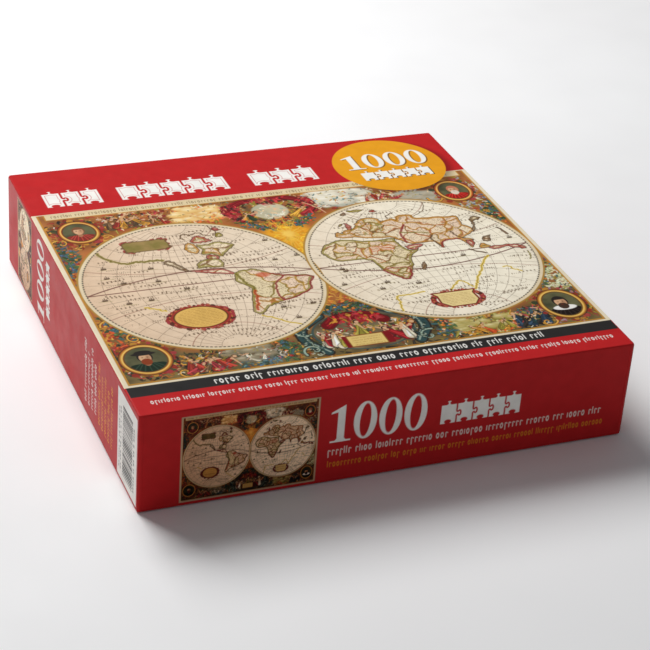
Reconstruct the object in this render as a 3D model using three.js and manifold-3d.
// Boxed jigsaw puzzle: a square two-piece set-up box whose full-depth lid slides down over a tray,
// with a sealed bag of die-cut cardboard pieces inside. Millimetres, +Z up, the origin at the centre
// of the tray's underside, the front of the box facing -Y.
import * as THREE from 'three';
import { mergeVertices } from 'three/addons/utils/BufferGeometryUtils.js';
import Module from 'manifold-3d';

const wasm = await Module();
wasm.setup();

// Box
const boxSide = 260;
const boxHeight = 54.5;
const cornerRadius = 1.5;
const boardThickness = 1.6;
const paperThickness = 0.3;
const glueGap = 0.1;
const stayThickness = 0.2;
const stayLeg = 14;
const stayMargin = 4;
const turnInDepth = 18;
const lidToTrayClearance = 0.8;
const lidToRimGap = 0.2;
const lidEdgeHeight = 0.5;

// Bag and pieces
const bagHalfWidth = 117;
const bagHalfLength = 111;
const bagBottom = 2.4;
const bagHeight = 40;
const bagFilm = 0.3;
const bagRoundness = 4;
const bagSteps = 48;
const bagPieceRoom = 4;
const ventRadius = 3;
const bagEdgeHeight = 7;
const sealLength = 9;
const sealThickness = 0.6;
const pieceLong = 20;
const pieceShort = 17.5;
const pieceThickness = 1.9;
const pieceGap = 0.5;
const pieceRows = 6;
const pieceSpacing = 29;
const pieceTurnSpread = 0.24;

// The layers of one wall, from its outer face inwards
const boardInset = paperThickness + 2 * glueGap + stayThickness;
const wallThickness = boardInset + boardThickness + glueGap + paperThickness;

const lid = {
  name: 'lid',
  half: boxSide / 2,
  rim: lidEdgeHeight,
  face: boxHeight,
};
const lidCeiling = boxHeight - paperThickness - glueGap - boardThickness;
const tray = {
  name: 'base',
  half: boxSide / 2 - wallThickness - lidToTrayClearance,
  rim: lidCeiling - lidToRimGap,
  face: 0,
};

const colours = {
  redPaper: { color: 0xb42a2e, roughness: 0.35, metalness: 0 },
  greyBoard: { color: 0xb3aca0, roughness: 0.9, metalness: 0 },
  kraftTape: { color: 0xb98d5a, roughness: 0.8, metalness: 0 },
  clearFilm: { color: 0xdfe6ea, roughness: 0.25, metalness: 0 },
  printedBoard: { color: 0xc9a86a, roughness: 0.6, metalness: 0 },
};

const puzzleBox = new THREE.Group();

function addPart(parent, name, geometry, colour) {
  const mesh = new THREE.Mesh(geometry, new THREE.MeshStandardMaterial(colour));
  mesh.name = name;
  parent.add(mesh);
  return mesh;
}

// A closed three.js geometry as a manifold-3d solid, and back again
function toSolid(geometry) {
  const bare = geometry.index ? geometry.toNonIndexed() : geometry.clone();
  bare.deleteAttribute('normal');
  bare.deleteAttribute('uv');
  const merged = mergeVertices(bare, 1e-4);
  return new wasm.Manifold(new wasm.Mesh({
    numProp: 3,
    vertProperties: new Float32Array(merged.attributes.position.array),
    triVerts: new Uint32Array(merged.index.array),
  }));
}

function toGeometry(solid) {
  const mesh = solid.getMesh();
  const geometry = new THREE.BufferGeometry();
  geometry.setAttribute('position', new THREE.BufferAttribute(mesh.vertProperties, mesh.numProp));
  geometry.setIndex(new THREE.BufferAttribute(mesh.triVerts, 1));
  return geometry;
}

// A square prism with round vertical corners, between two heights given in either order
function squarePrism(half, radius, heightA, heightB) {
  const straight = half - radius;
  const shape = new THREE.Shape();
  shape.absarc(straight, straight, radius, 0, Math.PI / 2);
  shape.absarc(-straight, straight, radius, Math.PI / 2, Math.PI);
  shape.absarc(-straight, -straight, radius, Math.PI, 1.5 * Math.PI);
  shape.absarc(straight, -straight, radius, 1.5 * Math.PI, 2 * Math.PI);
  shape.closePath();
  const depth = Math.abs(heightB - heightA);
  const prism = new THREE.ExtrudeGeometry(shape, { depth, bevelEnabled: false, curveSegments: 4 });
  prism.translate(0, 0, Math.min(heightA, heightB));
  return toSolid(prism);
}

// The corner radius that keeps a wall layer concentric with the outer corner
function radiusAt(inset) {
  return Math.max(cornerRadius - inset, 0.3);
}

// The scored and folded greyboard of one half of the box
function foldedBoard({ half, rim, face }) {
  const inwards = Math.sign(rim - face);
  const boardRim = rim - inwards * (paperThickness + glueGap);
  const boardFace = face + inwards * (paperThickness + glueGap);
  const outer = squarePrism(half - boardInset, radiusAt(boardInset), boardRim, boardFace);
  const innerInset = boardInset + boardThickness;
  const hollow = squarePrism(
    half - innerInset, radiusAt(innerInset), rim + inwards, boardFace + inwards * boardThickness);
  return toGeometry(outer.subtract(hollow));
}

// The paper glued round one half of the box, folded over the rim and down inside the walls
function foldedWrap({ half, rim, face }) {
  const inwards = Math.sign(rim - face);
  const skin = squarePrism(half, cornerRadius, rim, face);
  const boardRoom = squarePrism(
    half - paperThickness, radiusAt(paperThickness),
    rim - inwards * paperThickness, face + inwards * paperThickness);
  const mouth = squarePrism(
    half - wallThickness, radiusAt(wallThickness), rim + inwards, rim - inwards * 2 * paperThickness);
  const turnInInset = wallThickness - paperThickness;
  const turnIn = squarePrism(
    half - turnInInset, radiusAt(turnInInset), rim, rim - inwards * turnInDepth);
  const opening = squarePrism(
    half - wallThickness, radiusAt(wallThickness), rim + inwards, rim - inwards * (turnInDepth + 1));
  return toGeometry(skin.subtract(boardRoom).subtract(mouth).add(turnIn.subtract(opening)));
}

// The paper tape that holds one upright corner of the board together
function cornerStay({ half, rim, face }) {
  const inner = half - boardInset + glueGap;
  const outer = inner + stayThickness;
  const centre = half - cornerRadius;
  const shape = new THREE.Shape();
  shape.moveTo(inner - stayLeg, outer);
  shape.lineTo(inner - stayLeg, inner);
  shape.absarc(centre, centre, inner - centre, Math.PI / 2, 0, true);
  shape.lineTo(inner, inner - stayLeg);
  shape.lineTo(outer, inner - stayLeg);
  shape.absarc(centre, centre, outer - centre, 0, Math.PI / 2);
  const depth = Math.abs(rim - face) - 2 * stayMargin;
  const tape = new THREE.ExtrudeGeometry(shape, { depth, bevelEnabled: false, curveSegments: 4 });
  tape.translate(0, 0, Math.min(rim, face) + stayMargin);
  return tape;
}

function addBoxHalf(half) {
  addPart(puzzleBox, `${half.name}_board`, foldedBoard(half), colours.greyBoard);
  addPart(puzzleBox, `${half.name}_wrap`, foldedWrap(half), colours.redPaper);
  const corners = ['back_right', 'back_left', 'front_left', 'front_right'];
  corners.forEach((corner, quarter) => {
    const stay = addPart(
      puzzleBox, `${half.name}_stay_${corner}`, cornerStay(half), colours.kraftTape);
    stay.rotation.z = quarter * Math.PI / 2;
  });
}

// How far out the pillow outline lies in one direction, as a share of its half width and length
function pillowReach(angle) {
  const across = Math.abs(Math.cos(angle)) ** bagRoundness;
  const along = Math.abs(Math.sin(angle)) ** bagRoundness;
  return (across + along) ** (-1 / bagRoundness);
}

// A lathed profile of [share of the half width, height] pairs, pushed out to the pillow outline
function pillow(profile, halfWidth, halfLength) {
  const points = profile.map(([share, height]) => new THREE.Vector2(share, height));
  const lathe = new THREE.LatheGeometry(points, bagSteps);
  const position = lathe.attributes.position;
  for (let i = 0; i < position.count; i += 1) {
    const [x, height, z] = [position.getX(i), position.getY(i), position.getZ(i)];
    const reach = pillowReach(Math.atan2(-z, x));
    position.setXYZ(i, x * reach * halfWidth, -z * reach * halfLength, height);
  }
  return lathe;
}

// Height of the pillow's top at a share of its half width: gently domed, then rolling over the edge
function pillowTop(share, height) {
  const dome = 1 - 0.22 * share ** 2;
  return height * dome * (1 - share ** 9) ** 0.45;
}

const pillowShares = [0, 0.2, 0.4, 0.55, 0.7, 0.8, 0.88, 0.94, 0.98, 1];

// Bottom to top outline of a filled pillow: a flat underside, a widest line at edgeHeight, a dome
function pillowProfile(bottom, height, edgeHeight) {
  const sides = pillowShares.toReversed().map(
    (share) => [share, bottom + edgeHeight + pillowTop(share, height - edgeHeight)]);
  return [[0, bottom], [0.94, bottom], ...sides];
}

// The loose pieces that lie under the separately modelled ones, as one mound
const moundHeight = bagHeight - 2 * bagPieceRoom;
const moundBottom = bagBottom + bagFilm + pieceGap;
const moundHalfWidth = bagHalfWidth - bagPieceRoom;
const moundHalfLength = bagHalfLength - bagPieceRoom;
const moundEdgeHeight = 5;

function moundOfPieces() {
  const profile = pillowProfile(moundBottom, moundHeight, moundEdgeHeight);
  return pillow(profile, moundHalfWidth, moundHalfLength);
}

// Height of the mound's top over a point of the floor
function moundTop(x, y) {
  const across = Math.abs(x / moundHalfWidth) ** bagRoundness;
  const along = Math.abs(y / moundHalfLength) ** bagRoundness;
  const share = (across + along) ** (1 / bagRoundness);
  return moundBottom + moundEdgeHeight + pillowTop(share, moundHeight - moundEdgeHeight);
}

// The flat welded edge of the bag, square outside and reaching long at both ends
function bagSeal() {
  const shape = new THREE.Shape();
  const [x, y] = [bagHalfWidth + 0.5, bagHalfLength + sealLength];
  shape.setFromPoints([[-x, -y], [x, -y], [x, y], [-x, y]].map(([a, b]) => new THREE.Vector2(a, b)));
  const weldShare = 1 - bagFilm / 2 / bagHalfWidth;
  const outline = Array.from({ length: bagSteps }, (_, i) => {
    const angle = i * 2 * Math.PI / bagSteps;
    const reach = pillowReach(angle) * weldShare;
    return new THREE.Vector2(
      Math.cos(angle) * reach * bagHalfWidth, Math.sin(angle) * reach * bagHalfLength);
  });
  shape.holes.push(new THREE.Path(outline));
  const seal = new THREE.ExtrudeGeometry(shape, { depth: sealThickness, bevelEnabled: false });
  seal.translate(0, 0, bagBottom + bagEdgeHeight - sealThickness / 2);
  return seal;
}

// The film bag: a pillow skin with a small vent in its top and a flat welded edge
function bag() {
  const outside = pillowProfile(bagBottom, bagHeight, bagEdgeHeight);
  const inside = pillowProfile(bagBottom + bagFilm, bagHeight - 2 * bagFilm, bagEdgeHeight);
  const innerShare = 1 - bagFilm / bagHalfWidth;
  const vent = ventRadius / bagHalfWidth;
  const ventedSkin = [
    ...outside.slice(0, -1),
    [vent, outside.at(-1)[1]],
    [vent, inside.at(-1)[1]],
    ...inside.slice(0, -1).reverse().map(([share, height]) => [share * innerShare, height]),
  ];
  const skin = toSolid(pillow(ventedSkin, bagHalfWidth, bagHalfLength));
  return toGeometry(skin.add(toSolid(bagSeal())));
}

// One edge of a piece, from one corner to the next, with its knob out (1) or its socket in (-1)
function addEdge(shape, from, to, knob) {
  const along = to.clone().sub(from);
  const out = new THREE.Vector2(along.y, -along.x).normalize().multiplyScalar(knob * pieceShort);
  const at = (share, lift) => from.clone().addScaledVector(along, share).addScaledVector(out, lift);
  const curves = [
    [[0.20, 0.03], [0.38, -0.05], [0.41, 0.06]],
    [[0.43, 0.12], [0.30, 0.12], [0.34, 0.20]],
    [[0.39, 0.28], [0.61, 0.28], [0.66, 0.20]],
    [[0.70, 0.12], [0.57, 0.12], [0.59, 0.06]],
    [[0.62, -0.05], [0.80, 0.03], [1, 0]],
  ];
  for (const curve of curves) {
    const [a, b, end] = curve.map(([share, lift]) => at(share, lift));
    shape.bezierCurveTo(a.x, a.y, b.x, b.y, end.x, end.y);
  }
}

function puzzlePiece(knobs) {
  const [x, y] = [pieceLong / 2, pieceShort / 2];
  const corners = [[-x, -y], [x, -y], [x, y], [-x, y]].map(([a, b]) => new THREE.Vector2(a, b));
  const shape = new THREE.Shape();
  shape.moveTo(corners[0].x, corners[0].y);
  knobs.forEach((knob, i) => addEdge(shape, corners[i], corners[(i + 1) % 4], knob));
  return new THREE.ExtrudeGeometry(
    shape, { depth: pieceThickness, bevelEnabled: false, curveSegments: 2 });
}

// A repeatable stream of numbers from 0 to 1
function numberStream(seed) {
  let state = seed;
  return () => {
    state = (state * 1664525 + 1013904223) % 4294967296;
    return state / 4294967296;
  };
}

// The top layer of separate pieces, each lying flat against the mound under it
function addPieces() {
  const random = numberStream(17);
  const start = -(pieceRows - 1) / 2;
  for (let i = 0; i < pieceRows ** 2; i += 1) {
    const x = (start + (i % pieceRows)) * pieceSpacing;
    const y = (start + Math.floor(i / pieceRows)) * pieceSpacing;
    const knobs = [0, 1, 2, 3].map(() => (random() < 0.5 ? -1 : 1));
    const turn = Math.floor(random() * 2) * Math.PI + (random() - 0.5) * pieceTurnSpread;
    const slopeX = (moundTop(x + 1, y) - moundTop(x - 1, y)) / 2;
    const slopeY = (moundTop(x, y + 1) - moundTop(x, y - 1)) / 2;
    const up = new THREE.Vector3(-slopeX, -slopeY, 1).normalize();
    const seat = new THREE.Group();
    seat.quaternion.setFromUnitVectors(new THREE.Vector3(0, 0, 1), up);
    seat.position.set(x, y, moundTop(x, y)).addScaledVector(up, pieceGap);
    const number = String(i + 1).padStart(2, '0');
    const piece = addPart(seat, `puzzle_piece_${number}`, puzzlePiece(knobs), colours.printedBoard);
    piece.rotation.z = turn;
    puzzleBox.add(seat);
  }
}

addBoxHalf(tray);
addBoxHalf(lid);
addPart(puzzleBox, 'piece_bag', bag(), colours.clearFilm);
addPart(puzzleBox, 'loose_piece_mound', moundOfPieces(), colours.printedBoard);
addPieces();

export default puzzleBox;
